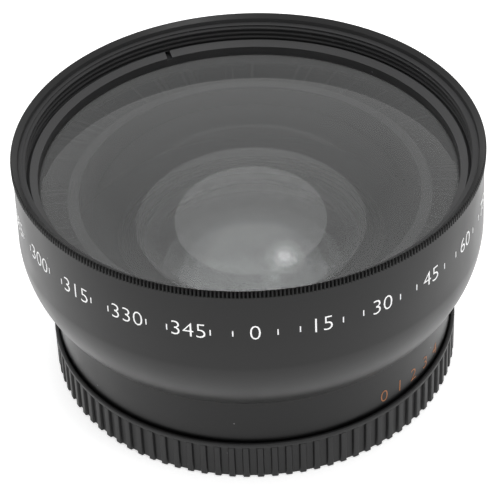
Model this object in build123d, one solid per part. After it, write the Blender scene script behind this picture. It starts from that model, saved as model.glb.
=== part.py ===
from build123d import *
from math import asin, cos, pi, sin
import os

# Wide-angle conversion lens with a close-up section and a screw-on rear cap.
# Millimetres, +Z up along the optical axis. The origin is the centre of the rear cap's bottom
# face, which the lens stands on. The front of the lens, with the filter thread, looks up.

# Threads, as plain walls: a filter thread in the rim, one between the sections, one at the rear
filter_thread_radius = 31.0
filter_thread_length = 2.71
rear_thread_radius = 25.75
rear_thread_length = 3.2
section_thread_length = 3.5
thread_clearance = 0.05
thread_end_gap = 0.3

# Rear cap
cap_sleeve_clearance = 0.2
cap_sleeve_depth = 1.2
cap_rib_wall = 0.7
cap_rib_depth = 0.4
cap_rib_count = 94
cap_rib_tip_width = 0.75
cap_rib_foot_width = 1.05
cap_lip_wall = 0.55
cap_lip_height = 0.6
cap_lip_chamfer = 0.2
cap_thread_end_gap = 0.4
cap_floor = 1.4

# Close-up section
macro_length = 8.4
macro_shoulder = 2.95
macro_edge_chamfer = 0.15
macro_front_wall = 4.2
macro_rear_wall = 3.15
macro_seat_lip = 1.6
macro_seat_lip_height = 0.8

# Wide section, outside: walls are outside the filter thread's radius
wide_length = 22.75
bell_wall = 1.75
bell_curve_height = 10.1
bell_foot_overhang = 0.1
neck_wall = 1.3
knurl_wall = 1.5
knurl_depth = 0.4
knurl_teeth = 400
knurl_height = 0.95
rim_crown_wall = 0.9
rim_outer_chamfer_height = 0.28
rim_inner_chamfer_height = 0.72

# Wide section, inside
front_bore_step = 0.35
front_seat_width = 5.65
baffle_steps = 4
baffle_step_width = 0.8
baffle_step_height = 0.5
baffle_foot_ledge = 0.3
second_lip_height = 1.3
second_seat_width = 1.6
spigot_wall = 4.9
spigot_end_inset = 0.3

# Lenses: the flat rims are inside the ground edge, rises and depths are along the axis
lens_edge_clearance = 0.1
front_lens_edge = 7.0
front_dome_rise = 1.92
front_dome_rim = 1.55
front_hollow_depth = 7.0
front_hollow_rim = 7.05
second_lens_edge = 2.6
second_dome_rise = 2.64
second_dome_rim = 1.9
second_hollow_depth = 3.51
second_hollow_rim = 4.0
macro_lens_edge = 2.4
macro_dome_rise = 3.16
macro_dome_rim = 1.7

# Retaining rings
ring_clearance = 0.05
front_ring_height = 2.0
front_ring_wall = 1.45
front_ring_crest_wall = 0.35
front_ring_outer_drop = 0.28
front_ring_inner_drop = 0.64
front_ring_inset = 0.12
front_notch_azimuth = -157.4
second_ring_height = 1.4
second_ring_wall = 2.05
macro_ring_height = 1.6
macro_ring_wall = 1.65
notch_width = 0.8
notch_depth = 0.9
notch_overrun = 0.5

# Heights that the pieces share
cap_seat = cap_floor + cap_thread_end_gap + rear_thread_length
cap_top = cap_seat + cap_sleeve_depth
section_joint = cap_seat + macro_length
rim_top = section_joint + wide_length
knurl_top = rim_top - rim_outer_chamfer_height
knurl_bottom = knurl_top - knurl_height
thread_top = rim_top - rim_inner_chamfer_height
thread_bottom = thread_top - filter_thread_length
front_ring_top = thread_bottom - front_ring_inset
front_lens_top = front_ring_top - front_ring_height
front_seat = front_lens_top - front_lens_edge
spigot_end = section_joint - section_thread_length
second_ring_top = spigot_end + spigot_end_inset + second_ring_height
second_seat = second_ring_top + second_lens_edge
baffle_bottom = second_seat + second_lip_height
baffle_top = baffle_bottom + baffle_steps * baffle_step_height
macro_thread_end = spigot_end - thread_end_gap
macro_seat = macro_thread_end - macro_seat_lip_height
macro_ring_top = macro_seat - macro_lens_edge

# Radii that the pieces share
macro_radius = rear_thread_radius + macro_shoulder
section_thread_radius = macro_radius - macro_front_wall
macro_bore = rear_thread_radius - macro_rear_wall
cap_sleeve_bore = macro_radius + cap_sleeve_clearance
cap_rib_radius = cap_sleeve_bore + cap_rib_wall
cap_rib_root = cap_rib_radius - cap_rib_depth
cap_lip_radius = cap_sleeve_bore + cap_lip_wall
bell_radius = filter_thread_radius + bell_wall
bell_foot_radius = macro_radius + bell_foot_overhang
neck_radius = filter_thread_radius + neck_wall
knurl_radius = filter_thread_radius + knurl_wall
knurl_root = knurl_radius - knurl_depth
rim_crown_radius = filter_thread_radius + rim_crown_wall
front_bore = filter_thread_radius - front_bore_step
cone_top_radius = front_bore - front_seat_width
second_bore = section_thread_radius - spigot_wall
second_lip_radius = second_bore - second_seat_width
baffle_foot_radius = second_lip_radius + baffle_foot_ledge
baffle_top_radius = baffle_foot_radius + baffle_steps * baffle_step_width


def turned(*outlines):
    """Solid of revolution about the optical axis from the edges of a closed half section."""
    edges = [edge for outline in outlines for edge in outline.edges()]
    return revolve(Plane.XZ * make_face(edges), axis=Axis.Z)


def path(*points):
    """Straight edges of a half section, through points of radius and height."""
    return Polyline(*points)


def dome(edge, rise, edge_height):
    """Arc of a half section over the axis, which rises from a radius and height to its pole."""
    sphere = (edge**2 + rise**2) / (2 * rise)
    half_turn = asin(edge / sphere) / 2
    middle_drop = sphere * (1 - cos(half_turn))
    pole = edge_height + rise
    return ThreePointArc(
        (0, pole),
        (sphere * sin(half_turn), pole - middle_drop),
        (edge, edge_height),
    )


def place_at_azimuth(shape, azimuth):
    """Turns a shape made on the side facing -Y to an azimuth, positive towards +X."""
    return Rotation(0, 0, azimuth) * shape


def notches(inner, outer, top, azimuth):
    """Two opposite cuts for a pin spanner across the top of a retaining ring."""
    reach = outer - inner + 2 * notch_overrun
    height = notch_depth + notch_overrun
    middle = Pos(0, -(inner + outer) / 2, top + notch_overrun - height / 2)
    cut = middle * Box(notch_width, reach, height)
    return [place_at_azimuth(cut, azimuth), place_at_azimuth(cut, azimuth + 180)]


def bell_outline():
    """Outer edges of the wide section from its foot up to the knurl."""
    widest_height = section_joint + bell_curve_height
    spread = bell_radius - bell_foot_radius
    curve = (spread**2 + bell_curve_height**2) / (2 * spread)
    half_turn = asin(bell_curve_height / curve) / 2
    middle = (
        bell_radius - curve * (1 - cos(half_turn)),
        widest_height - curve * sin(half_turn),
    )
    swell = ThreePointArc((bell_foot_radius, section_joint), middle, (bell_radius, widest_height))
    return [swell, path((bell_radius, widest_height), (neck_radius, knurl_bottom))]


def toothed_ring(tooth, teeth, inner, bottom, height):
    """Ring with straight teeth outside; a tooth is a list of radius and share of the pitch."""
    pitch = 2 * pi / teeth
    corners = [
        (radius * cos((number + share) * pitch), radius * sin((number + share) * pitch))
        for number in range(teeth)
        for radius, share in tooth
    ]
    face = make_face(Polyline(*corners, close=True)) - Circle(inner)
    return Pos(0, 0, bottom) * extrude(face, height)


def wide_barrel():
    """Turned bell: knurled rim, filter thread, lens seats, baffle steps and threaded spigot."""
    crown = path(
        (neck_radius, knurl_bottom),
        (knurl_root, knurl_bottom),
        (knurl_root, knurl_top),
        (rim_crown_radius, rim_top),
        (filter_thread_radius, thread_top),
        (filter_thread_radius, thread_bottom),
        (front_bore, thread_bottom),
        (front_bore, front_seat),
        (cone_top_radius, front_seat),
        (baffle_top_radius, baffle_top),
    )
    stairs = [(baffle_top_radius, baffle_top)]
    for step in range(1, baffle_steps + 1):
        radius = baffle_top_radius - step * baffle_step_width
        stairs.append((radius, stairs[-1][1]))
        stairs.append((radius, baffle_top - step * baffle_step_height))
    inside = path(
        *stairs,
        (second_lip_radius, baffle_bottom),
        (second_lip_radius, second_seat),
        (second_bore, second_seat),
        (second_bore, spigot_end),
        (section_thread_radius, spigot_end),
        (section_thread_radius, section_joint),
        (bell_foot_radius, section_joint),
    )
    body = turned(*bell_outline(), crown, inside)
    knurl = toothed_ring(
        [(knurl_root, 0), (knurl_radius, 0.5)],
        knurl_teeth,
        (knurl_root + filter_thread_radius) / 2,
        knurl_bottom,
        knurl_height,
    )
    return body + knurl


def front_retaining_ring():
    """Ring with a roof-shaped top that holds the front lens, with two spanner notches."""
    outer = front_bore - ring_clearance
    inner = outer - front_ring_wall
    ring = turned(
        path(
            (inner, front_lens_top),
            (outer, front_lens_top),
            (outer, front_ring_top - front_ring_outer_drop),
            (outer - front_ring_crest_wall, front_ring_top),
            (inner, front_ring_top - front_ring_inner_drop),
            (inner, front_lens_top),
        )
    )
    return ring - notches(inner, outer, front_ring_top, front_notch_azimuth)


def front_lens():
    """Negative meniscus: shallow dome in front, deep hollow behind, flat ground edge."""
    edge = front_bore - lens_edge_clearance
    front = dome(edge - front_dome_rim, front_dome_rise, front_lens_top)
    hollow = dome(edge - front_hollow_rim, front_hollow_depth, front_seat)
    side = path(
        front @ 1,
        (edge, front_lens_top),
        (edge, front_seat),
        hollow @ 1,
    )
    return turned(front, side, hollow, path(hollow @ 0, front @ 0))


def second_lens():
    """Small negative meniscus held in the spigot."""
    edge = second_bore - lens_edge_clearance
    front = dome(edge - second_dome_rim, second_dome_rise, second_seat)
    hollow = dome(edge - second_hollow_rim, second_hollow_depth, second_ring_top)
    side = path(
        front @ 1,
        (edge, second_seat),
        (edge, second_ring_top),
        hollow @ 1,
    )
    return turned(front, side, hollow, path(hollow @ 0, front @ 0))


def macro_lens():
    """Plano-convex close-up lens, its flat side to the rear."""
    edge = macro_bore - lens_edge_clearance
    front = dome(edge - macro_dome_rim, macro_dome_rise, macro_seat)
    rest = path(
        front @ 1,
        (edge, macro_seat),
        (edge, macro_ring_top),
        (0, macro_ring_top),
        front @ 0,
    )
    return turned(front, rest)


def rear_ring(bore, wall, top, height):
    """Plain retaining ring behind a lens, its notches facing the rear."""
    outer = bore - ring_clearance
    inner = outer - wall
    bottom = top - height
    ring = turned(
        path((inner, bottom), (outer, bottom), (outer, top), (inner, top), (inner, bottom))
    )
    return ring - [mirror(cut, Plane.XY) for cut in notches(inner, outer, -bottom, 90)]


def macro_barrel():
    """Short turned section with a thread at each end and a seat for the close-up lens."""
    front_thread = section_thread_radius + thread_clearance
    lip = macro_bore - macro_seat_lip
    thread_end = cap_seat - rear_thread_length
    return turned(
        path(
            (macro_radius, cap_seat + macro_edge_chamfer),
            (macro_radius, section_joint - macro_edge_chamfer),
            (macro_radius - macro_edge_chamfer, section_joint),
            (front_thread, section_joint),
            (front_thread, macro_thread_end),
            (lip, macro_thread_end),
            (lip, macro_seat),
            (macro_bore, macro_seat),
            (macro_bore, thread_end),
            (rear_thread_radius, thread_end),
            (rear_thread_radius, cap_seat),
            (macro_radius - macro_edge_chamfer, cap_seat),
            (macro_radius, cap_seat + macro_edge_chamfer),
        )
    )


def cap_ribs():
    """Upright ribs round the cap, from its foot to its lip."""
    pitch = 2 * pi * cap_rib_radius / cap_rib_count
    tip = cap_rib_tip_width / pitch / 2
    foot = cap_rib_foot_width / pitch / 2
    rib = [
        (cap_rib_root, 0.5 - foot),
        (cap_rib_radius, 0.5 - tip),
        (cap_rib_radius, 0.5 + tip),
        (cap_rib_root, 0.5 + foot),
    ]
    inner = (cap_rib_root + cap_sleeve_bore) / 2
    return toothed_ring(rib, cap_rib_count, inner, 0, cap_top - cap_lip_height)


def rear_cap():
    """Moulded cup with ribs outside, a sleeve round the close-up section and a thread."""
    thread_bore = rear_thread_radius + thread_clearance
    rib_top = cap_top - cap_lip_height
    cup = turned(
        path(
            (0, 0),
            (cap_rib_root, 0),
            (cap_rib_root, rib_top),
            (cap_lip_radius, rib_top),
            (cap_lip_radius, cap_top - cap_lip_chamfer),
            (cap_lip_radius - cap_lip_chamfer, cap_top),
            (cap_sleeve_bore, cap_top),
            (cap_sleeve_bore, cap_seat),
            (thread_bore, cap_seat),
            (thread_bore, cap_floor),
            (0, cap_floor),
            (0, 0),
        )
    )
    return cup + cap_ribs()


def write_parts():
    """Writes each piece as one STEP file."""
    makers = {
        "rear_cap": rear_cap,
        "macro_barrel": macro_barrel,
        "macro_lens": macro_lens,
        "macro_retaining_ring": lambda: rear_ring(
            macro_bore, macro_ring_wall, macro_ring_top, macro_ring_height
        ),
        "wide_barrel": wide_barrel,
        "front_retaining_ring": front_retaining_ring,
        "front_lens": front_lens,
        "second_lens": second_lens,
        "second_retaining_ring": lambda: rear_ring(
            second_bore, second_ring_wall, second_ring_top, second_ring_height
        ),
    }
    os.makedirs("parts", exist_ok=True)
    for name, make in makers.items():
        export_step(make(), f"parts/{name}.step")


write_parts()
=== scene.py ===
from math import atan2, cos, hypot, pi, radians, sin, tan

import bmesh
import bpy
from mathutils import Euler, Matrix, Vector


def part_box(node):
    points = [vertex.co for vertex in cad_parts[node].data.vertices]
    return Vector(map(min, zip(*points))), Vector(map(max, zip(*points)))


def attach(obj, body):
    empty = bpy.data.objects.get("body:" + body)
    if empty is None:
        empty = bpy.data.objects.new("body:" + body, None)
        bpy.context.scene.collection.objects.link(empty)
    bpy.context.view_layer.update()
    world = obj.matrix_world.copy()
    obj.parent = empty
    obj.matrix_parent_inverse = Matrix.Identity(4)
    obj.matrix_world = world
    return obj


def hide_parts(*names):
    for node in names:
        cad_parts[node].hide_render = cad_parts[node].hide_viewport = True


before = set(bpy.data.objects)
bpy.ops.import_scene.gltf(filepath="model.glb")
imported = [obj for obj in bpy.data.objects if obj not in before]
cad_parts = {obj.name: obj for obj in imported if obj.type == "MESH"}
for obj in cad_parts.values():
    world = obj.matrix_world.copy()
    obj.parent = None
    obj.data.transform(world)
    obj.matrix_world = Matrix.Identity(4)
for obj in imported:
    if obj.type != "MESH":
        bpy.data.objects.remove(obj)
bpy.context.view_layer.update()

# Wide-angle conversion lens, standing on its rear cap: the origin is the middle of the cap's
# bottom face, +Z is up along the optical axis and -Y is towards the camera. Its pieces are made
# in millimetres and scaled to metres when they are finished.

metre = 1000.0
pitch = 0.75

# Points nearer than weld are one, and margin is the slack where faces are picked by their place
weld = 0.001
margin = 0.05


def span(node):
    """Radius, lowest and highest point of a CAD node that is round about the axis."""
    low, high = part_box(node)
    return high[0] * metre, low[2] * metre, high[2] * metre


barrel_radius, spigot_low, rim_top = span("wide_barrel")
macro_radius, rear_thread_low, joint = span("macro_barrel")
ring_radius, ring_low, ring_top = span("front_retaining_ring")
glass_radius, glass_seat, glass_pole = span("front_lens")
second_radius, second_low, second_pole = span("second_lens")
close_up_radius, close_up_low, close_up_pole = span("macro_lens")
cap_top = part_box("rear_cap")[1][2] * metre

# Facets round the axis and along the curves
turned_facets = 240
glass_facets = 200
thread_facets = 160
dome_facets = 36
bell_facets = 16

# Wide barrel
knurl_teeth = 400
knurl_radius = barrel_radius - 0.25
knurl_root = knurl_radius - 0.4
knurl_low = rim_top - 1.23
knurl_high = rim_top - 0.45
neck_radius = barrel_radius - 0.45
crown_radius = knurl_radius - 0.15
crown_root = crown_radius - 0.15
crown_low = rim_top - 0.2
crown_top = rim_top - 0.14
crown_slope = 0.1
chamfer_radius = barrel_radius - 1.18
chamfer_low = rim_top - 0.7
chamfer_round = 0.05
rim_wall = chamfer_radius - 0.07
widest = joint + 10.1
foot_radius = macro_radius + 0.1
foot_round = 0.15

# Threads: the filter thread in the rim, between the sections, and at the rear
filter_root = barrel_radius - 1.75
filter_crest = filter_root - 0.4
filter_high = rim_top - 1.3
filter_low = ring_top - 0.45
filter_groove = ring_top - 0.25
filter_relief = filter_root + 0.05
filter_cone = 0.7
filter_finish_low = ring_top - 1.0
section_radius = macro_radius - 4.2
rear_radius = macro_radius - 2.95
thread_depth = 0.4
thread_play = 0.05
wall_step = 0.03
lead_in = 0.2
rear_lead_in = 0.25
male_relief = 0.35
female_relief = 0.1

# Seats and light baffle inside the barrel
bore = ring_radius + 0.05
glass_ledge = 5.65
ledge_round = 0.1
second_bore = second_radius + 0.1
second_lip = second_bore - 1.6
second_seat = second_low + 2.6
bore_round = 0.15
baffle_low = second_seat + 1.3
baffle_steps = 4
baffle_step_width = 0.8
baffle_step_height = 0.5
baffle_foot = second_lip + 0.3
baffle_radius = baffle_foot + baffle_steps * baffle_step_width
baffle_top = baffle_low + baffle_steps * baffle_step_height

# Front retaining ring
ring_outer = ring_radius + 0.32
ring_ridge = ring_radius - 0.44
ring_inner = ring_radius - 1.45
ring_foot = ring_low + 0.05
ring_outer_high = ring_top - 0.5
ring_inner_high = ring_top - 0.64
ring_outer_round = 0.04
ring_ridge_round = 0.06
ring_inner_round = 0.08
notch_azimuths = (-157.4, 22.6)
notch_width = 0.78
notch_floor = ring_top - 0.95

# Glasses
front_edge = glass_radius - 1.55
front_hollow = glass_radius - 7.05
front_hollow_depth = 7.0
second_edge = second_radius - 1.9
second_hollow = second_radius - 4.0
second_hollow_depth = 3.51
close_up_edge = close_up_radius - 1.7

# Close-up section
cap_seat = cap_top - 1.2
macro_edge = 0.15
macro_bore = close_up_radius + 0.1
macro_lip = macro_bore - 1.6
close_up_seat = close_up_low + 2.4
macro_thread_end = close_up_seat + 0.8

# Rear cap
cap_ribs = 94
cap_bore = macro_radius + 0.2
cap_lip = cap_bore + 0.55
lip_low = cap_top - 0.6
lip_bore_round = 0.08
lip_round = 0.3
lip_foot_round = 0.04
rib_root_top = cap_lip - 0.4
rib_root_high = cap_top - 0.62
rib_high = cap_top - 0.68
rib_depth = 0.4
rib_draft = 0.1
rib_foot_width = 1.02
rib_tip_width = 0.78
rib_round = 0.12
rib_rise = 0.05
cap_chamfer = 0.1
cap_floor = 1.4

# Markings: sizes, heights and angles in degrees
ink = 0.012
stroke = -0.05
dial_size = 3.3
dial_height = rim_top - 6.9
dial_step = 15
tick_step = 5
tick_length = 0.9
tick_width = 0.16
close_up_size = 3.0
close_up_height = joint - 5.35
close_up_numbers = 5
close_up_first = 37.0
close_up_step = 6.0

# Camera, in metres and degrees, as fitted to the photograph
camera_place = (0.0, -0.193258, 0.174503)
camera_angles = (50.637104, 1.816867, -1.400672)
camera_lens = 124.8
sensor_width = 36.0

scene = bpy.context.scene


def arc(centre_radius, centre_height, radius, start, end, steps):
    """Points of an arc of a half section, its angles from the outward direction."""
    return [
        (
            centre_radius + radius * cos(start + (end - start) * step / steps),
            centre_height + radius * sin(start + (end - start) * step / steps),
        )
        for step in range(steps + 1)
    ]


def outline(*corners, segments=3):
    """Points of a half section through corners; a corner's third value is its rounding."""
    points = []
    for number, corner in enumerate(corners):
        here = Vector(corner[:2])
        if len(corner) < 3:
            points.append(tuple(here))
            continue
        before = (Vector(corners[number - 1][:2]) - here).normalized()
        after = (Vector(corners[(number + 1) % len(corners)][:2]) - here).normalized()
        half = before.angle(after) / 2
        centre = here + (before + after).normalized() * corner[2] / sin(half)
        start = here + before * corner[2] / tan(half) - centre
        end = here + after * corner[2] / tan(half) - centre
        turn = start.angle_signed(end)
        for step in range(segments + 1):
            points.append(tuple(centre + Matrix.Rotation(-turn * step / segments, 2) @ start))
    return points


def half_section(bm, points, closed=False):
    """Edges and vertices of a half section in the plane of the axis and +X."""
    verts = [bm.verts.new((radius, 0, height)) for radius, height in points]
    pairs = list(zip(verts, verts[1:] + verts[:1] if closed else verts[1:]))
    return [bm.edges.new(pair) for pair in pairs] + verts


def everything(bm):
    """All vertices, edges and faces of a mesh."""
    return bm.verts[:] + bm.edges[:] + bm.faces[:]


def radius_of(point):
    """Distance of a point from the optical axis."""
    return hypot(point.x, point.y)


def spin(bm, geom, angle, steps, rise=0.0, copies=False):
    """Turns geometry about the optical axis, and gives where it ends."""
    closes = angle == 2 * pi and not rise and not copies
    return bmesh.ops.spin(
        bm,
        geom=geom,
        cent=(0, 0, 0),
        axis=(0, 0, 1),
        dvec=(0, 0, rise / steps),
        angle=angle,
        steps=steps,
        use_merge=closes,
        use_duplicate=copies,
    )["geom_last"]


def lathe(bm, points, facets, closed=False):
    """Turned surface of a half section."""
    spin(bm, half_section(bm, points, closed), 2 * pi, facets)


def repeat(bm, times):
    """Repeats a wedge of the whole mesh round the axis and joins its sides."""
    spin(bm, everything(bm), 2 * pi * (times - 1) / times, times - 1, copies=True)
    bmesh.ops.remove_doubles(bm, verts=bm.verts, dist=weld)


def cut(bm, geom, place, normal, **cleared):
    """Cuts geometry along a plane and gives its parts."""
    return bmesh.ops.bisect_plane(
        bm, geom=geom, dist=weld / 10, plane_co=place, plane_no=normal, **cleared
    )["geom"]


def thread(root, crest, low, high, groove, cone):
    """Mesh data of a right-hand thread between two heights.

    groove is the height of a groove's middle on the side facing +Y, and cone the slope at which
    the upper end is cut.
    """
    bm = bmesh.new()
    root_flat, crest_flat = (pitch / 8, pitch / 4) if root > crest else (pitch / 4, pitch / 8)
    flank = (pitch - root_flat - crest_flat) / 2
    start = groove - root_flat / 2 - pitch / 4
    start -= pitch * (int((start - low) / pitch) + 3)
    turn = outline(
        (root, start),
        (root, start + root_flat),
        (crest, start + root_flat + flank),
        (crest, start + root_flat + flank + crest_flat),
        (root, start + pitch),
    )
    spin(bm, half_section(bm, turn), 2 * pi, thread_facets, rise=pitch)
    strip = everything(bm)
    for number in range(1, int((high - start) / pitch) + 3):
        copy = bmesh.ops.duplicate(bm, geom=strip)["geom"]
        moved = [v for v in copy if isinstance(v, bmesh.types.BMVert)]
        bmesh.ops.translate(bm, verts=moved, vec=(0, 0, number * pitch))
    bmesh.ops.remove_doubles(bm, verts=bm.verts, dist=weld)
    cut(bm, everything(bm), (0, 0, low), (0, 0, 1), clear_inner=True)
    for vert in bm.verts:
        vert.co.z += cone * (root - radius_of(vert.co))
    cut(bm, everything(bm), (0, 0, high), (0, 0, 1), clear_outer=True)
    for vert in bm.verts:
        vert.co.z -= cone * (root - radius_of(vert.co))
    mesh = bpy.data.meshes.new("thread")
    bm.to_mesh(mesh)
    bm.free()
    return mesh


def open_loop(bm, radius, height):
    """Boundary edges of a mesh on a circle."""
    return [
        edge
        for edge in bm.edges
        if edge.is_boundary
        and all(
            abs(v.co.z - height) < weld and abs(radius_of(v.co) - radius) < weld for v in edge.verts
        )
    ]


def fit_thread(bm, root, crest, low_wall, high_wall, groove, cone=0.0):
    """Thread between two open ends of a wall, each given as its radius and height."""
    low_loop = open_loop(bm, *low_wall)
    high_loop = open_loop(bm, *high_wall)
    old = set(bm.edges)
    mesh = thread(root, crest, low_wall[1], high_wall[1], groove, cone)
    bm.from_mesh(mesh)
    bpy.data.meshes.remove(mesh)
    middle = (low_wall[1] + high_wall[1]) / 2
    for edge in bm.edges:
        if edge.is_boundary and edge not in old:
            (low_loop if edge.verts[0].co.z < middle else high_loop).append(edge)
    for loop in (low_loop, high_loop):
        bmesh.ops.triangle_fill(bm, edges=loop, use_beauty=True, normal=(0, 0, 1))


def piece(name, bm, body, materials, nodes=(), sharp=30, level=True):
    """Object from a finished mesh, on its CAD body and in place of its CAD nodes."""
    bmesh.ops.remove_doubles(bm, verts=bm.verts, dist=weld)
    bmesh.ops.recalc_face_normals(bm, faces=bm.faces)
    for face in bm.faces:
        face.smooth = True
    bmesh.ops.scale(bm, verts=bm.verts, vec=[1 / metre] * 3)
    mesh = bpy.data.meshes.new(name)
    bm.to_mesh(mesh)
    bm.free()
    mesh.set_sharp_from_angle(angle=radians(sharp))
    obj = bpy.data.objects.new(name, mesh)
    scene.collection.objects.link(obj)
    for material in materials:
        mesh.materials.append(material)
    if level:
        weighted = obj.modifiers.new("level_normals", "WEIGHTED_NORMAL")
        weighted.keep_sharp = True
    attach(obj, body)
    if nodes:
        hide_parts(*nodes)
    return obj


def bell_curve():
    """Round lower stretch of the bell, from its foot up to where it is widest."""
    spread = barrel_radius - foot_radius
    height = widest - joint
    radius = (spread**2 + height**2) / (2 * spread)
    drop = atan2(height, radius - spread)
    return arc(barrel_radius - radius, widest, radius, -drop, 0, bell_facets)


def bell_surface(height):
    """Radius of the bell above its widest place."""
    share = (height - widest) / (knurl_low - widest)
    return barrel_radius + share * (neck_radius - barrel_radius)


def wide_barrel(satin, matt, threads, knurl):
    """Bell with the knurled rim, filter thread, seats, baffle and threaded spigot."""
    bm = bmesh.new()
    finishes = (satin, matt, threads, knurl)
    matt_place, threads_place, knurl_place = 1, 2, 3
    wedge = 2 * pi / knurl_teeth
    spigot_thread = section_radius - thread_depth / 2
    spigot_wall = spigot_thread - wall_step
    stairs = []
    for step in range(baffle_steps):
        radius = baffle_radius - step * baffle_step_width
        height = baffle_top - step * baffle_step_height
        stairs += [(radius, height), (radius - baffle_step_width, height)]
    inside = outline(
        (filter_relief, filter_low),
        (filter_relief, ring_low),
        (bore, ring_low),
        (bore, glass_seat),
        (bore - glass_ledge, glass_seat, ledge_round),
        *stairs,
        (baffle_foot, baffle_low),
        (second_lip, baffle_low),
        (second_lip, second_seat),
        (second_bore, second_seat),
        (second_bore, spigot_low, bore_round),
        (spigot_wall - lead_in, spigot_low),
        (spigot_wall, spigot_low + lead_in),
    )
    outside = outline(
        (spigot_wall, joint - male_relief),
        (spigot_wall, joint),
        (foot_radius, joint, foot_round),
        *bell_curve()[1:],
        (neck_radius, knurl_low),
        (knurl_radius, knurl_low),
        (knurl_radius, knurl_high),
        (crown_radius, crown_low),
        (crown_radius - crown_slope, crown_top),
        (chamfer_radius, chamfer_low, chamfer_round),
        (rim_wall, filter_high),
    )
    spin(bm, half_section(bm, inside), wedge, 1)
    for face in bm.faces:
        face.material_index = matt_place
    spin(bm, half_section(bm, outside), wedge, 1)
    knurl_groove(bm, wedge)
    repeat(bm, knurl_teeth)
    fit_thread(
        bm,
        filter_root,
        filter_crest,
        (filter_relief, filter_low),
        (rim_wall, filter_high),
        filter_groove,
        cone=filter_cone,
    )
    fit_thread(
        bm,
        spigot_thread,
        spigot_thread + thread_depth - thread_play,
        (spigot_wall, spigot_low + lead_in),
        (spigot_wall, joint - male_relief),
        joint,
    )
    for face in bm.faces:
        centre = face.calc_center_median()
        radius = radius_of(centre)
        # Filter thread faces get the thread finish, whose lighter colour is painted light in the
        # shaded grooves
        if radius < chamfer_radius and filter_finish_low < centre.z < chamfer_low:
            face.material_index = threads_place
        # Knurl faces get the knurl finish, whose lower shine is painted shade
        elif radius > crown_root - margin and knurl_low < centre.z < crown_low:
            face.material_index = knurl_place
    piece("wide_barrel_metal", bm, "wide_section", finishes, ("wide_barrel",))


def knurl_groove(bm, wedge):
    """Cuts the groove halves of one tooth into the wedge's knurl band."""
    roots = {knurl_low: knurl_root, knurl_high: knurl_root, crown_low: crown_root}
    band = [
        edge
        for edge in bm.edges
        if min(radius_of(v.co) for v in edge.verts) > crown_radius - weld
        and any(all(abs(v.co.z - row) < weld for v in edge.verts) for row in roots)
        and abs(radius_of(edge.verts[0].co) - radius_of(edge.verts[1].co)) < weld
    ]
    bmesh.ops.subdivide_edges(bm, edges=band, cuts=2, use_grid_fill=True)
    for vert in bm.verts:
        along = atan2(vert.co.y, vert.co.x) * knurl_radius
        on_a_side = along <= weld or along >= wedge * knurl_radius - weld
        if radius_of(vert.co) < crown_radius - margin / 2 or not on_a_side:
            continue
        for row, root in roots.items():
            if abs(vert.co.z - row) < weld:
                scale = root / radius_of(vert.co)
                vert.co.x *= scale
                vert.co.y *= scale


def front_ring(black):
    """Retaining ring with a roof-shaped top and two spanner notches."""
    bm = bmesh.new()
    points = outline(
        (ring_inner, ring_foot),
        (ring_outer, ring_foot),
        (ring_outer, ring_outer_high, ring_outer_round),
        (ring_ridge, ring_top, ring_ridge_round),
        (ring_inner, ring_inner_high, ring_inner_round),
    )
    lathe(bm, points, turned_facets, closed=True)
    for azimuth in notch_azimuths:
        cut_notch(bm, radians(azimuth))
    piece("front_ring_metal", bm, "wide_section", (black,), ("front_retaining_ring",))


def cut_notch(bm, azimuth):
    """Cuts a spanner notch across the ring's top."""
    along = Vector((sin(azimuth), -cos(azimuth), 0))
    across = Vector((cos(azimuth), sin(azimuth), 0))
    half = notch_width / 2

    def off_middle(face):
        return abs(face.calc_center_median().dot(across))

    near = [
        face
        for face in bm.faces
        if face.calc_center_median().dot(along) > 0 and off_middle(face) < 3 * notch_width
    ]
    for normal, offset in ((across, half), (-across, half), (Vector((0, 0, 1)), notch_floor)):
        geom = list({v for f in near for v in f.verts} | {e for f in near for e in f.edges}) + near
        made = cut(bm, geom, normal * offset, normal)
        near = [f for f in made if isinstance(f, bmesh.types.BMFace)]
    gone = [f for f in near if f.calc_center_median().z > notch_floor and off_middle(f) < half]
    bmesh.ops.delete(bm, geom=gone, context="FACES")
    opening = [e for e in bm.edges if e.is_boundary]
    corners = {}
    for vert in {v for e in opening for v in e.verts}:
        side = vert.co.dot(across)
        if abs(vert.co.z - notch_floor) < weld and abs(abs(side) - half) < weld:
            corners.setdefault(side > 0, []).append(vert)
    for pair in corners.values():
        edge = bm.edges.new(pair)
        side = pair[0].co.dot(across)
        wall = [e for e in opening if all(abs(v.co.dot(across) - side) < weld for v in e.verts)]
        bmesh.ops.contextual_create(bm, geom=wall + [edge])
    floor = [e for e in bm.edges if e.is_boundary]
    bmesh.ops.contextual_create(bm, geom=floor)


def dome(edge, rise, height):
    """Half section of a spherical surface, from the axis at its pole out to its edge."""
    radius = (edge**2 + rise**2) / (2 * rise)
    spread = atan2(edge, radius - rise)
    return arc(0, height + rise - radius, radius, pi / 2, pi / 2 - spread, dome_facets)


def surface_height(surface, radius):
    """Height of a lens surface at a radius."""
    for inner, outer in zip(surface, surface[1:]):
        if outer[0] > radius:
            share = (radius - inner[0]) / (outer[0] - inner[0])
            return inner[1] + share * (outer[1] - inner[1])
    return surface[-1][1]


def lens(name, node, body, front, back, edge, finishes):
    """Polished lens with a painted edge; front and back are its two surfaces from the axis.

    The finishes are those of the front, the back and the edge.
    """
    bm = bmesh.new()
    points = front + [(edge, front[-1][1]), (edge, back[-1][1])] + back[::-1]
    lathe(bm, points, glass_facets)
    bmesh.ops.remove_doubles(bm, verts=bm.verts, dist=weld)
    for face in bm.faces:
        centre = face.calc_center_median()
        radius = radius_of(centre)
        if radius < front[-1][0] and centre.z > surface_height(front, radius) - margin:
            face.material_index = 0
        elif radius < back[-1][0]:
            face.material_index = 1
        else:
            face.material_index = 2
    piece(name, bm, body, finishes, (node,), sharp=25, level=False)


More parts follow.
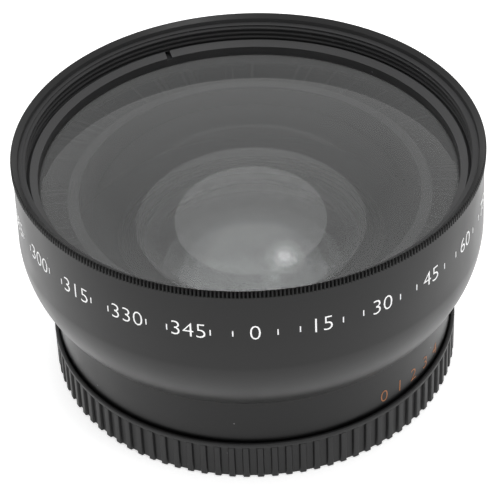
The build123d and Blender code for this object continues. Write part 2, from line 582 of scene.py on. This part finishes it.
def front_glass(dust_and_painted_sheen, inner, paint):
    """Large front lens, domed in front and deeply hollowed behind."""
    front = dome(front_edge, glass_pole - ring_low, ring_low)
    back = dome(front_hollow, front_hollow_depth, glass_seat)
    finishes = (dust_and_painted_sheen, inner, paint)
    lens("front_glass", "front_lens", "wide_glass", front, back, glass_radius, finishes)


def second_glass(coated, paint):
    """Small lens in the barrel's spigot, hollow behind."""
    front = dome(second_edge, second_pole - second_seat, second_seat)
    back = dome(second_hollow, second_hollow_depth, second_low)
    finishes = (coated, coated, paint)
    lens("second_glass", "second_lens", "wide_glass", front, back, second_radius, finishes)


def close_up_glass(coated, paint):
    """Close-up lens, domed in front and flat behind."""
    front = dome(close_up_edge, close_up_pole - close_up_seat, close_up_seat)
    back = [(0, close_up_low), (close_up_edge, close_up_low)]
    finishes = (coated, coated, paint)
    lens("close_up_glass", "macro_lens", "macro_glass", front, back, close_up_radius, finishes)


def close_up_barrel(satin):
    """Short section between the bell and the cap, threaded at both ends."""
    bm = bmesh.new()
    front_thread = section_radius + thread_depth / 2
    rear_thread = rear_radius - thread_depth / 2
    front_wall = front_thread + wall_step
    rear_wall = rear_thread - wall_step
    inside = outline(
        (front_wall, macro_thread_end + female_relief),
        (front_wall, macro_thread_end),
        (macro_lip, macro_thread_end),
        (macro_lip, close_up_seat),
        (macro_bore, close_up_seat),
        (macro_bore, rear_thread_low, bore_round),
        (rear_wall - lead_in, rear_thread_low),
        (rear_wall, rear_thread_low + rear_lead_in),
    )
    outside = outline(
        (rear_wall, cap_seat - male_relief),
        (rear_wall, cap_seat),
        (macro_radius, cap_seat, macro_edge),
        (macro_radius, joint, macro_edge),
        (front_wall, joint),
        (front_wall, joint - female_relief),
    )
    lathe(bm, inside, turned_facets)
    lathe(bm, outside, turned_facets)
    fit_thread(
        bm,
        front_thread,
        front_thread - thread_depth + thread_play,
        (front_wall, macro_thread_end + female_relief),
        (front_wall, joint - female_relief),
        joint + pitch / 2,
    )
    fit_thread(
        bm,
        rear_thread,
        rear_thread + thread_depth - thread_play,
        (rear_wall, rear_thread_low + rear_lead_in),
        (rear_wall, cap_seat - male_relief),
        cap_seat,
    )
    # Its finish is the darker copy of the satin black, painted shade
    piece("close_up_barrel_metal", bm, "macro_section", (satin,), ("macro_barrel",))


def rear_cap(plastic):
    """Ribbed cup with a sleeve round the close-up section and a thread inside."""
    bm = bmesh.new()
    wedge = 2 * pi / cap_ribs
    thread_root = rear_radius + thread_depth / 2
    thread_wall = thread_root + wall_step
    rib_root_foot = rib_root_top + rib_draft
    bottom_radius = rib_root_foot - cap_chamfer
    outer = outline(
        (thread_wall, cap_seat - female_relief),
        (thread_wall, cap_seat),
        (cap_bore, cap_seat),
        (cap_bore, cap_top, lip_bore_round),
        (cap_lip, cap_top, lip_round),
        (cap_lip, lip_low, lip_foot_round),
        (rib_root_top, rib_root_high),
        (rib_root_top, rib_high),
        (rib_root_foot, cap_chamfer),
        (bottom_radius, 0),
    )
    geom = half_section(bm, outer)
    foot_share = rib_foot_width / (rib_root_top * wedge)
    for share in ((1 - foot_share) / 2, foot_share, (1 - foot_share) / 2):
        geom = spin(bm, geom, wedge * share, 1)
    raise_rib(bm, wedge)
    repeat(bm, cap_ribs)
    bmesh.ops.contextual_create(bm, geom=open_loop(bm, bottom_radius, 0))
    floor = outline(
        (0, cap_floor),
        (thread_wall, cap_floor),
        (thread_wall, cap_floor + female_relief),
    )
    lathe(bm, floor, 2 * cap_ribs)
    fit_thread(
        bm,
        thread_root,
        thread_root - thread_depth + thread_play,
        (thread_wall, cap_floor + female_relief),
        (thread_wall, cap_seat - female_relief),
        cap_seat + pitch / 2,
    )
    piece("rear_cap_moulding", bm, "root", (plastic,), ("rear_cap",))


def raise_rib(bm, wedge):
    """Raises the rib from the middle of the wedge's wall and rounds it."""
    middle = Vector((cos(wedge / 2), sin(wedge / 2), 0))
    across = Vector((-sin(wedge / 2), cos(wedge / 2), 0))
    walls = []
    for face in bm.faces:
        centre = face.calc_center_median()
        if radius_of(centre) > rib_root_top - 2 * margin and cap_top / 4 < centre.z < rib_high:
            if abs(centre.dot(across)) < 2 * margin:
                walls.append(face)
    rib = bmesh.ops.extrude_discrete_faces(bm, faces=walls)["faces"][0]
    for vert in rib.verts:
        side = vert.co.dot(across)
        vert.co += middle * rib_depth - across * side * (1 - rib_tip_width / rib_foot_width)
        vert.co.z += rib_rise if vert.co.z > cap_top / 2 else 0
    bmesh.ops.bevel(
        bm,
        geom=rib.edges[:],
        offset=rib_round,
        offset_type="OFFSET",
        segments=2,
        profile=0.5,
        affect="EDGES",
        material=-1,
    )


# Printed markings


def wrapped_text(text, size, azimuth, height, radius_at):
    """Mesh data of one numeral wrapped on a round surface."""
    curve = bpy.data.curves.new("numeral", "FONT")
    curve.body = text
    curve.size = size
    curve.align_x = "CENTER"
    curve.align_y = "CENTER"
    curve.offset = stroke
    curve.extrude = ink
    curve.resolution_u = 3
    flat = bpy.data.objects.new("numeral", curve)
    scene.collection.objects.link(flat)
    mesh = bpy.data.meshes.new_from_object(flat)
    bpy.data.objects.remove(flat)
    for vert in mesh.vertices:
        across, up, out = vert.co
        level = height + up
        radius = radius_at(level) + out + ink
        turn = azimuth + across / radius_at(height)
        vert.co = (radius * sin(turn), -radius * cos(turn), level)
    return mesh


def numerals(texts, size, height, radius_at):
    """Mesh of numerals, each given with its azimuth in degrees."""
    bm = bmesh.new()
    for text, azimuth in texts:
        mesh = wrapped_text(text, size, radians(azimuth), height, radius_at)
        bm.from_mesh(mesh)
        bpy.data.meshes.remove(mesh)
    return bm


def tick(bm, azimuth):
    """Short upright line on the bell."""
    made = bmesh.ops.create_cube(bm, size=1.0)["verts"]
    for vert in made:
        level = dial_height + vert.co.y * tick_length
        radius = bell_surface(level) + ink * (1 + 2 * vert.co.z)
        turn = azimuth + vert.co.x * tick_width / radius
        vert.co = (radius * sin(turn), -radius * cos(turn), level)


def bell_dial(white):
    """Dial in degrees round the bell, with ticks between its numerals."""
    texts = [(str(angle), angle) for angle in range(0, 360, dial_step)]
    bm = numerals(texts, dial_size, dial_height, bell_surface)
    for angle in range(0, 360, tick_step):
        if angle % dial_step:
            tick(bm, radians(angle))
    piece("bell_numerals", bm, "wide_section", (white,), level=False)


def close_up_scale(orange):
    """Row of numerals on the front of the close-up section."""
    texts = [
        (str(number), close_up_first + close_up_step * number) for number in range(close_up_numbers)
    ]
    bm = numerals(texts, close_up_size, close_up_height, lambda height: macro_radius)
    piece("close_up_numerals", bm, "macro_section", (orange,), level=False)


# Shader nodes


def node(tree, kind, inputs, **settings):
    """Shader node; each input, by name or number, gets a value or is linked to a socket."""
    made = tree.nodes.new(kind)
    for setting, value in settings.items():
        setattr(made, setting, value)
    for label, value in inputs.items():
        socket = made.inputs[label]
        if isinstance(value, bpy.types.NodeSocket):
            tree.links.new(value, socket)
        elif socket.type == "RGBA":
            socket.default_value = (*value, 1)
        else:
            socket.default_value = value
    return made


def maths(tree, operation, *values):
    """Result of a calculation with numbers or sockets."""
    made = node(tree, "ShaderNodeMath", dict(enumerate(values)), operation=operation)
    return made.outputs["Value"]


def ramp(tree, value, start, end, low=0.0, high=1.0):
    """Value that goes from low to high while another goes from start to end."""
    limits = {"From Min": start, "From Max": end, "To Min": low, "To Max": high}
    return node(tree, "ShaderNodeMapRange", {"Value": value, **limits}).outputs["Result"]


def mixed(tree, share, first, second):
    """Mix of two colours."""
    made = node(
        tree, "ShaderNodeMix", {"Factor": share, "A": first, "B": second}, data_type="RGBA"
    )
    return made.outputs["Result"]


def noise(tree, place, **inputs):
    """Noise texture."""
    made = node(tree, "ShaderNodeTexNoise", {"Vector": place, **inputs})
    return made.outputs["Fac"]


def object_place(tree):
    """Place in the object's own frame, in metres."""
    return tree.nodes.new("ShaderNodeTexCoord").outputs["Object"]


def axis_distance(tree, place):
    """Distance of a place from the optical axis."""
    flat = node(tree, "ShaderNodeVectorMath", {0: place, 1: (1, 1, 0)}, operation="MULTIPLY")
    length = node(tree, "ShaderNodeVectorMath", {0: flat.outputs["Vector"]}, operation="LENGTH")
    return length.outputs["Value"]


def group(name, inputs, outputs):
    """Empty shader node group with number sockets, its inputs given with their values."""
    tree = bpy.data.node_groups.new(name, "ShaderNodeTree")
    for label, value in inputs.items():
        socket = tree.interface.new_socket(label, in_out="INPUT", socket_type="NodeSocketFloat")
        socket.default_value = value
    for label in outputs:
        tree.interface.new_socket(label, in_out="OUTPUT", socket_type="NodeSocketFloat")
    return tree, tree.nodes.new("NodeGroupInput"), tree.nodes.new("NodeGroupOutput")


def fresh_material(name):
    """New material with its node tree and surface shader."""
    material = bpy.data.materials.new(name)
    material.use_nodes = True
    return material, material.node_tree, material.node_tree.nodes["Principled BSDF"]


# Finishes


def fine_finish():
    """Surface effect: fine grain with turning lines round the axis, clouds and a few specks."""
    tree, into, out = group(
        "fine_finish",
        {"Grain Scale": 4000.0, "Line Scale": 9000.0, "Line Share": 0.5, "Speck Scale": 900.0},
        ("Height", "Cloud", "Speck"),
    )
    speck_radius = 0.09
    cells_without_speck = 0.985
    place = object_place(tree)
    grain = noise(tree, place, Scale=into.outputs["Grain Scale"], Detail=3.0)
    apart = node(tree, "ShaderNodeSeparateXYZ", {"Vector": place})
    polar = node(
        tree,
        "ShaderNodeCombineXYZ",
        {"X": axis_distance(tree, place), "Y": apart.outputs["Z"]},
    )
    lines = noise(tree, polar.outputs["Vector"], Scale=into.outputs["Line Scale"], Detail=1.0)
    height = node(
        tree, "ShaderNodeMix", {"Factor": into.outputs["Line Share"], "A": grain, "B": lines}
    )
    cells = node(
        tree, "ShaderNodeTexVoronoi", {"Vector": place, "Scale": into.outputs["Speck Scale"]}
    )
    chosen = node(tree, "ShaderNodeSeparateColor", {"Color": cells.outputs["Color"]})
    near = maths(tree, "LESS_THAN", cells.outputs["Distance"], speck_radius)
    rare = maths(tree, "GREATER_THAN", chosen.outputs["Red"], cells_without_speck)
    tree.links.new(height.outputs["Result"], out.inputs["Height"])
    tree.links.new(noise(tree, place, Scale=130.0, Detail=4.0), out.inputs["Cloud"])
    tree.links.new(maths(tree, "MULTIPLY", near, rare), out.inputs["Speck"])
    return tree


def finished(name, effect, colour, speck_colour, rough, shine, grain=4000.0, lines=0.5, bump=0.1):
    """Finish whose colour and roughness vary a little, with fine grain and specks."""
    material, tree, shader = fresh_material(name)
    fine = node(tree, "ShaderNodeGroup", {}, node_tree=effect)
    fine.inputs["Grain Scale"].default_value = grain
    fine.inputs["Line Share"].default_value = lines
    cloud = fine.outputs["Cloud"]
    base = mixed(tree, cloud, colour, [1.5 * part for part in colour])
    bumps = node(
        tree,
        "ShaderNodeBump",
        {"Strength": bump, "Distance": 0.02 / metre, "Height": fine.outputs["Height"]},
    )
    tree.links.new(mixed(tree, fine.outputs["Speck"], base, speck_colour), shader.inputs["Base Color"])
    tree.links.new(ramp(tree, cloud, 0.3, 0.7, *rough), shader.inputs["Roughness"])
    tree.links.new(bumps.outputs["Normal"], shader.inputs["Normal"])
    shader.inputs["Specular IOR Level"].default_value = shine
    return material


def polished_glass(name, clearness, shine, middle, rim):
    """Coated glass whose colour goes from its middle out to the front lens's rim, where it is
    lighter as painted light.

    What clearness leaves short of 1 is a grey haze, partly dust and partly painted sheen that
    stands in for the coating's reflection and for light seen inside the glass; shine is the colour
    of the reflection.
    """
    material, tree, shader = fresh_material(name)
    shader.inputs["Transmission Weight"].default_value = clearness
    shader.inputs["Roughness"].default_value = 0.0
    shader.inputs["IOR"].default_value = 1.52
    shader.inputs["Specular Tint"].default_value = (*shine, 1)
    place = object_place(tree)
    rim_distance = glass_radius / metre
    # Painted light: the colour grows lighter over the outer third towards the front lens's rim; the
    # noise adds random tone
    painted_rim_light = ramp(tree, axis_distance(tree, place), 0.66 * rim_distance, rim_distance)
    share = maths(tree, "MULTIPLY_ADD", noise(tree, place, Scale=60.0), 0.1, painted_rim_light)
    tree.links.new(mixed(tree, share, middle, rim), shader.inputs["Base Color"])
    return material


def print_colour(name, effect, colour):
    """Printed marking, a little uneven."""
    return finished(name, effect, colour, colour, (0.5, 0.6), 0.4, lines=0.0, bump=0.05)


def grey(level):
    """Grey as a colour."""
    return (level, level, level)


# Floor, light and camera


def pale_floor():
    """Floor finish that glows for the camera, most far out, and for reflections near the cap."""
    material, tree, shader = fresh_material("pale_floor")
    shader.inputs["Base Color"].default_value = (0.9, 0.9, 0.9, 1)
    shader.inputs["Roughness"].default_value = 0.8
    shader.inputs["Specular IOR Level"].default_value = 0.1
    shader.inputs["Emission Color"].default_value = (1, 1, 1, 1)
    distance = axis_distance(tree, object_place(tree))
    rays = tree.nodes.new("ShaderNodeLightPath")
    near = ramp(tree, distance, 0.045, 0.085, 0.55, 0.1)
    far = ramp(tree, distance, 0.12, 0.45, 0.45, 1.0)
    reflected = maths(tree, "MULTIPLY", near, rays.outputs["Is Glossy Ray"])
    seen = maths(tree, "MULTIPLY", far, rays.outputs["Is Camera Ray"])
    tree.links.new(maths(tree, "ADD", reflected, seen), shader.inputs["Emission Strength"])
    return material


def floor():
    """Pale floor that keeps the object's shadow."""
    bm = bmesh.new()
    bmesh.ops.create_grid(bm, x_segments=1, y_segments=1, size=1.5)
    mesh = bpy.data.meshes.new("floor")
    bm.to_mesh(mesh)
    bm.free()
    mesh.materials.append(pale_floor())
    obj = bpy.data.objects.new("floor", mesh)
    scene.collection.objects.link(obj)


def surroundings():
    """World that is white for the camera and in reflections, and a dimmer light elsewhere."""
    world = bpy.data.worlds.new("white_tent")
    scene.world = world
    world.use_nodes = True
    tree = world.node_tree
    background = tree.nodes["Background"]
    background.inputs["Color"].default_value = (1, 1, 1, 1)
    rays = tree.nodes.new("ShaderNodeLightPath")
    seen = maths(tree, "ADD", rays.outputs["Is Camera Ray"], rays.outputs["Is Glossy Ray"])
    tree.links.new(ramp(tree, seen, 0.0, 1.0, 0.4, 1.0), background.inputs["Strength"])


def lights():
    """Broad light above and a small one at the side, which makes the highlight."""
    ceiling = lamp("ceiling_light", (0.0, 0.1, 0.66), 1.1, 6.0)
    ceiling.visible_glossy = False
    # Discs one behind the other, so that the highlight gets a soft edge
    for number, (size, power) in enumerate(((0.08, 0.1), (0.16, 0.2), (0.26, 0.3))):
        lamp(f"side_light_{number}", (0.2, -0.24, 0.65 - 0.01 * number), size, power)


def lamp(name, place, size, power):
    """Soft round light turned towards the lens."""
    data = bpy.data.lights.new(name, "AREA")
    data.shape = "DISK"
    data.size = size
    data.energy = power
    obj = bpy.data.objects.new(name, data)
    obj.location = place
    turn = (Vector((0, 0, 0.02)) - Vector(place)).to_track_quat("-Z", "Y")
    obj.rotation_euler = turn.to_euler()
    scene.collection.objects.link(obj)
    return obj


def camera():
    """Camera at the photograph's place and view."""
    data = bpy.data.cameras.new("camera")
    data.lens = camera_lens
    data.sensor_width = sensor_width
    data.clip_start = 0.01
    obj = bpy.data.objects.new("camera", data)
    turn = Euler([radians(angle) for angle in camera_angles])
    obj.matrix_world = Matrix.LocRotScale(Vector(camera_place), turn, None)
    scene.collection.objects.link(obj)
    scene.camera = obj


scene.view_settings.view_transform = "Standard"
camera()
floor()
surroundings()
lights()

fine = fine_finish()
satin_black = finished(
    "satin_black", fine, (0.003, 0.003, 0.0031), grey(0.2), rough=(0.30, 0.38), shine=0.36
)
# Lighter, duller copy of the barrel's black for the threads: painted light in their shaded grooves
thread_black_painted_light = finished(
    "thread_black_painted_light", fine, (0.028, 0.028, 0.0285), grey(0.2), rough=(0.45, 0.55), shine=0.1
)
# Darker copy of the satin black, with less shine, for the close-up section: painted shade low down by
# the cap
close_up_black_painted_shade = finished(
    "close_up_black_painted_shade", fine, (0.002, 0.002, 0.0021), grey(0.2), rough=(0.30, 0.38), shine=0.27
)
# Copy of the barrel's black with less shine and more roughness for the knurl: painted shade against
# the light its upward faces catch
knurl_black_painted_shade = finished("knurl_black_painted_shade", fine, grey(0.01), grey(0.4), rough=(0.4, 0.5), shine=0.2)
matt_black = finished("matt_black", fine, grey(0.004), grey(0.02), rough=(0.5, 0.6), shine=0.12)
ring_black = finished(
    "ring_black", fine, (0.02, 0.02, 0.0205), grey(0.2), rough=(0.35, 0.45), shine=0.45
)
cap_plastic = finished(
    "cap_plastic",
    fine,
    (0.006, 0.006, 0.0063),
    grey(0.12),
    rough=(0.42, 0.5),
    shine=0.36,
    grain=2500.0,
    lines=0.0,
    bump=0.25,
)
edge_paint = finished(
    "edge_paint", fine, grey(0.03), grey(0.05), rough=(0.6, 0.7), shine=0.1, lines=0.0
)
white_print = print_colour("white_print", fine, grey(0.95))
orange_print = print_colour("orange_print", fine, (0.33, 0.13, 0.05))
# Front glass: a grey haze, partly dust and partly painted sheen, painted lighter towards the rim
dust_and_painted_sheen_glass = polished_glass("dust_and_painted_sheen_glass", 0.92, grey(0.0), (0.64, 0.65, 0.65), (0.98, 0.99, 0.99))
inner_glass = polished_glass("inner_glass", 1.0, grey(1.0), (0.95, 0.96, 0.96), (0.97, 0.98, 0.98))
coated_glass = polished_glass("coated_glass", 1.0, grey(0.4), (0.95, 0.96, 0.96), (0.97, 0.98, 0.98))

wide_barrel(satin_black, matt_black, thread_black_painted_light, knurl_black_painted_shade)
front_ring(ring_black)
front_glass(dust_and_painted_sheen_glass, inner_glass, edge_paint)
second_glass(coated_glass, edge_paint)
close_up_glass(coated_glass, edge_paint)
close_up_barrel(close_up_black_painted_shade)
rear_cap(cap_plastic)
bell_dial(white_print)
close_up_scale(orange_print)

for small_ring in ("second_retaining_ring", "macro_retaining_ring"):
    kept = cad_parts[small_ring]
    kept.data.materials.clear()
    kept.data.materials.append(ring_black)
